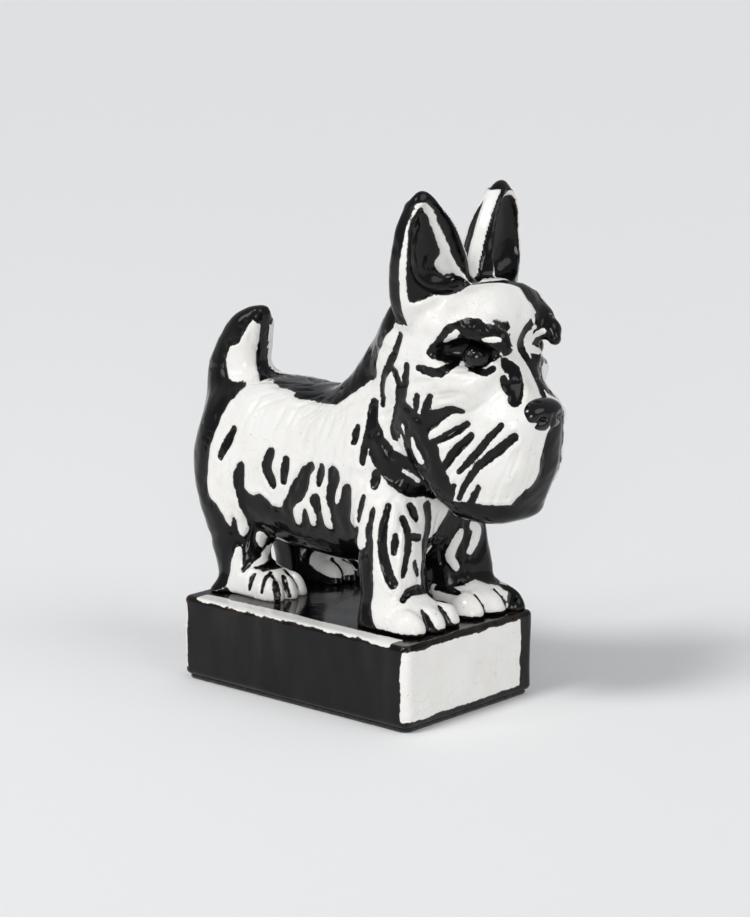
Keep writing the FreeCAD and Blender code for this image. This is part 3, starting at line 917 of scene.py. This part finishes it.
# ---------------------------------------------------------------- materials
class Nodes:
    """A material's node tree, with short calls that add nodes and return their output sockets."""

    def __init__(self, name):
        self.material = bpy.data.materials.new(name)
        self.material.use_nodes = True
        self.tree = self.material.node_tree
        self.shader = self.tree.nodes["Principled BSDF"]
        self.place = self.tree.nodes.new("ShaderNodeTexCoord").outputs["Object"]

    def put(self, socket, value):
        if isinstance(value, bpy.types.NodeSocket):
            self.tree.links.new(value, socket)
        else:
            socket.default_value = value

    def attribute(self, name):
        node = self.tree.nodes.new("ShaderNodeAttribute")
        node.attribute_name = name
        return node.outputs["Fac"]

    def math(self, operation, *values):
        node = self.tree.nodes.new("ShaderNodeMath")
        node.operation = operation
        for socket, value in zip(node.inputs, values):
            self.put(socket, value)
        return node.outputs[0]

    def noise(self, scale, detail=2.0, stretch=None):
        node = self.tree.nodes.new("ShaderNodeTexNoise")
        self.put(node.inputs["Vector"], self.place if stretch is None else self.stretched(stretch))
        node.inputs["Scale"].default_value = scale
        node.inputs["Detail"].default_value = detail
        return node.outputs["Fac"]

    def stretched(self, scale):
        node = self.tree.nodes.new("ShaderNodeMapping")
        self.put(node.inputs["Vector"], self.place)
        node.inputs["Scale"].default_value = scale
        return node.outputs["Vector"]

    def cells(self, scale, feature):
        node = self.tree.nodes.new("ShaderNodeTexVoronoi")
        node.feature = feature
        self.put(node.inputs["Vector"], self.place)
        node.inputs["Scale"].default_value = scale
        return node.outputs["Distance"]

    def ramp(self, value, low, high, start=0.0, end=1.0):
        node = self.tree.nodes.new("ShaderNodeMapRange")
        node.interpolation_type = "SMOOTHSTEP"
        for socket, given in zip(node.inputs, (value, low, high, start, end)):
            self.put(socket, given)
        return node.outputs["Result"]

    def blend(self, share, first, second):
        node = self.tree.nodes.new("ShaderNodeMix")
        node.data_type = "RGBA"
        for i, value in ((0, share), (6, first), (7, second)):
            self.put(node.inputs[i], value)
        return node.outputs[2]

    def bump(self, height, distance, strength, before=None):
        node = self.tree.nodes.new("ShaderNodeBump")
        self.put(node.inputs["Height"], height)
        node.inputs["Distance"].default_value = distance * MM
        node.inputs["Strength"].default_value = strength
        if before is not None:
            self.put(node.inputs["Normal"], before)
        return node.outputs["Normal"]

    def finish(self, colour, roughness, normal, **settings):
        self.put(self.shader.inputs["Base Color"], colour)
        self.put(self.shader.inputs["Roughness"], roughness)
        self.put(self.shader.inputs["Normal"], normal)
        for name, value in settings.items():
            self.shader.inputs[name.replace("_", " ")].default_value = value
        return self.material


def white_colour(n, bend):
    """Warm white: mottled, darker in grooves where it pools and as painted shade, cream where it runs thin,
    with specks and faint crazing.
    """
    mottle = n.ramp(n.noise(90.0, 3.0), 0.35, 0.7, 0.0, 0.5)
    colour = n.blend(mottle, (0.81, 0.80, 0.775, 1), (0.75, 0.735, 0.70, 1))
    # Darker in grooves: partly glaze pooling, partly painted shade.
    colour = n.blend(n.ramp(bend, -0.015, -0.09, 0.0, 0.75), colour, (0.50, 0.475, 0.43, 1))
    colour = n.blend(n.ramp(bend, 0.03, 0.1, 0.0, 0.5), colour, (0.76, 0.68, 0.56, 1))
    cracks = n.ramp(n.cells(260.0, "DISTANCE_TO_EDGE"), 0.03, 0.0)
    crazed = n.math("MULTIPLY", cracks, n.ramp(n.noise(60.0), 0.45, 0.6))
    colour = n.blend(n.math("MULTIPLY", crazed, 0.22), colour, (0.45, 0.40, 0.34, 1))
    speck = n.ramp(n.noise(1500.0, 1.0), 0.735, 0.77, 0.0, 0.55)
    return n.blend(speck, colour, (0.22, 0.16, 0.11, 1))


def black_colour(n, bend):
    """Blue-black with faint brush streaks, breaking to brown on edges."""
    streak = n.ramp(n.noise(160.0, 4.0, (1.0, 1.0, 0.25)), 0.45, 0.75)
    colour = n.blend(streak, (0.002, 0.002, 0.0026, 1), (0.011, 0.0095, 0.0092, 1))
    worn = n.math("MULTIPLY", n.ramp(bend, 0.02, 0.09), n.ramp(n.noise(420.0, 3.0), 0.4, 0.62))
    return n.blend(n.math("MULTIPLY", worn, 0.7), colour, (0.10, 0.055, 0.032, 1))


def glaze_normal(n, paint_edge):
    """The gloss coat's slow waves, its pinholes, and the small step where black lies on white."""
    waves = n.bump(n.noise(240.0, 2.0), 0.2, 0.5)
    pits = n.bump(n.ramp(n.cells(520.0, "F1"), 0.0, 0.1), 0.05, 0.5, waves)
    return n.bump(paint_edge, 0.07, 0.6, pits)


def painted_glaze():
    """White glaze with black where the mesh's ink is below 0: brushwork, and painted shade in places."""
    n = Nodes("painted_glaze")
    bend = n.attribute("bend")
    wobble = n.math("MULTIPLY_ADD", n.math("SUBTRACT", n.noise(700.0, 3.0), 0.5), 0.9, n.attribute("ink"))
    bare = n.ramp(wobble, -0.1, 0.12)
    thin = n.ramp(wobble, -0.55, -0.05, 0.0, 0.6)
    frayed = n.math("MULTIPLY", thin, n.noise(500.0, 3.0))
    black = n.blend(frayed, black_colour(n, bend), (0.05, 0.034, 0.026, 1))
    colour = n.blend(bare, black, white_colour(n, bend))
    roughness = n.ramp(n.noise(130.0, 3.0), 0.3, 0.7, 0.1, 0.2)
    return n.finish(colour, roughness, glaze_normal(n, bare), Specular_IOR_Level=0.22, Coat_Weight=0.1,
                    Coat_Roughness=0.03)


def black_glaze():
    n = Nodes("black_glaze")
    bend = n.attribute("bend")
    roughness = n.ramp(n.noise(130.0, 3.0), 0.3, 0.7, 0.07, 0.16)
    normal = glaze_normal(n, n.noise(300.0))
    return n.finish(black_colour(n, bend), roughness, normal, Specular_IOR_Level=0.35, Coat_Weight=0.15,
                    Coat_Roughness=0.03)


def felt_cloth():
    n = Nodes("felt_cloth")
    fibres = n.noise(2600.0, 6.0, (1.0, 0.5, 1.0))
    crossing = n.noise(2200.0, 6.0, (0.4, 1.0, 1.0))
    nap = n.math("MULTIPLY", fibres, crossing)
    colour = n.blend(n.ramp(nap, 0.15, 0.4), (0.006, 0.006, 0.007, 1), (0.030, 0.029, 0.031, 1))
    colour = n.blend(n.ramp(n.noise(60.0), 0.4, 0.7, 0.0, 0.5), colour, (0.018, 0.017, 0.017, 1))
    return n.finish(colour, 0.95, n.bump(nap, 0.3, 0.9), Sheen_Weight=0.25, Sheen_Roughness=0.5)


# ---------------------------------------------------------------- the pieces
def make_dog(glaze):
    skin = Skin(*mesh_of(model_dog()))
    paint(skin)
    carve_relief(skin)
    split_pieces(skin, blurred(curvature(skin.points, skin.quads, skin.normals), skin.quads, 2), glaze)


def make_nose_and_eyes():
    gloss = black_glaze()
    ball("nose", NOSE, NOSE_RADII, nose_shape, gloss, "nose", 96)
    eye_radii = EYE_RADIUS * np.array((1, 1, 0.94))
    for side, name in ((RIGHT, "eye_right"), (LEFT, "eye_left")):
        ball("glazed_" + name, np.array(EYE) * (1, side, 1), eye_radii, eye_shape, gloss, name, side=side)


def make_plinth(glaze):
    points, quads = rounded_box(plinth_low, plinth_high, 2.6, 1.5, 0.6)
    x, y, z = points.T
    normals = vertex_normals(points, quads)
    held = step(plinth_low.z, plinth_low.z + 2, z) * (1 - 0.8 * (normals[:, 2] > 0.8))
    lift = (0.2 * ripple(points, 16) + 0.08 * ripple(points, 5)) * held
    half_x, half_y = plinth_high.x, plinth_high.y
    # Painted light and shade: the black is painted shade over the sides and over the top round the dog. line
    # marks white strips along the top's long edges, a painted highlight, and the white ends are painted light
    # on the lit end faces.
    line = np.minimum.reduce([np.abs(y) - half_y + 5.6, z - GROUND + 0.6, x + half_x - 5, half_x - 6.5 - x])
    lit_end_panel = np.minimum.reduce([np.abs(x) - half_x + 2.0, half_y - 6.2 - y, z - plinth_low.z - 2.2,
                               GROUND - 1.5 - z])
    ink = np.maximum(line, lit_end_panel) + 0.22 * ripple(points, 4)
    points = points + normals * lift[:, None]
    plinth = new_mesh("glazed_plinth", points, quads)
    set_values(plinth, "ink", np.clip(ink, -FAR, FAR))
    set_values(plinth, "bend", blurred(curvature(points, quads, normals), quads, 1))
    plinth.data.materials.append(glaze)
    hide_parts("plinth_shell")


def make_felt():
    """The pad under the plinth, cut a little inside its edge."""
    low, high = (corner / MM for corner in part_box("felt_pad"))
    points, quads = rounded_box(low, high, 2.5, 0.45, 1.0)
    normals = vertex_normals(points, quads)
    side = np.abs(normals[:, 2]) < 0.7
    points = points + normals * (0.12 * ripple(points, 1.6) * side)[:, None]
    felt = new_mesh("felt", points, quads)
    felt.data.materials.append(felt_cloth())
    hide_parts("felt_pad")


white_and_black = painted_glaze()
make_dog(white_and_black)
make_nose_and_eyes()
make_plinth(white_and_black)
make_felt()


# ---------------------------------------------------------------- camera, floor and light
AZIMUTH, PITCH = 41.6, 12.1
LOOK_AT = Vector((6.9, 0, 66)) * MM
DISTANCE = 825 * MM


def seen_at(azimuth, elevation):
    """The way to something at that azimuth and elevation, in degrees. Azimuth 0 is on the right side."""
    az, el = math.radians(azimuth), math.radians(elevation)
    return Vector((math.sin(az) * math.cos(el), -math.cos(az) * math.cos(el), math.sin(el)))


def put_in_scene(name, data, place, back):
    """A camera or light at that place, which looks away from back."""
    thing = bpy.data.objects.new(name, data)
    bpy.context.scene.collection.objects.link(thing)
    thing.location = place
    thing.rotation_mode = "QUATERNION"
    thing.rotation_quaternion = back.to_track_quat("Z", "Y")
    return thing


def camera():
    data = bpy.data.cameras.new("camera")
    data.sensor_width = 36.0
    data.lens = 36.0 * 3000 / 917
    back = seen_at(AZIMUTH, PITCH)
    bpy.context.scene.camera = put_in_scene("camera", data, LOOK_AT + back * DISTANCE, back)


def soft_sun(name, azimuth, elevation, strength, softness):
    """A wide distant light that comes from that azimuth and elevation."""
    data = bpy.data.lights.new(name, "SUN")
    data.energy = strength
    data.angle = math.radians(softness)
    put_in_scene(name, data, (0, 0, 0), seen_at(azimuth, elevation))


def soft_box(name, place, aim, size, power):
    data = bpy.data.lights.new(name, "AREA")
    data.shape = "RECTANGLE"
    data.size, data.size_y = size
    data.energy = power
    put_in_scene(name, data, place, Vector(place) - Vector(aim))


def studio():
    bpy.ops.mesh.primitive_plane_add(size=80, location=(0, 0, 0))
    floor = bpy.context.object
    floor.name = "floor"
    paper = bpy.data.materials.new("paper")
    paper.use_nodes = True
    shader = paper.node_tree.nodes["Principled BSDF"]
    shader.inputs["Base Color"].default_value = (0.9, 0.9, 0.9, 1)
    shader.inputs["Roughness"].default_value = 0.9
    shader.inputs["Specular IOR Level"].default_value = 0.1
    floor.data.materials.append(paper)
    world = bpy.data.worlds.new("world")
    bpy.context.scene.world = world
    world.use_nodes = True
    world.node_tree.nodes["Background"].inputs["Color"].default_value = (0.95, 0.97, 1.0, 1)
    world.node_tree.nodes["Background"].inputs["Strength"].default_value = 0.35
    soft_sun("key", -8, 52, 1.2, 16)
    soft_sun("low", 40, 13, 0.8, 20)
    soft_sun("fill", 95, 40, 0.7, 40)
    soft_box("window", (-0.35, -0.75, 0.55), (0, 0, 0.08), (0.2, 0.45), 1.2)


camera()
studio()
bpy.context.scene.view_settings.view_transform = "Standard"
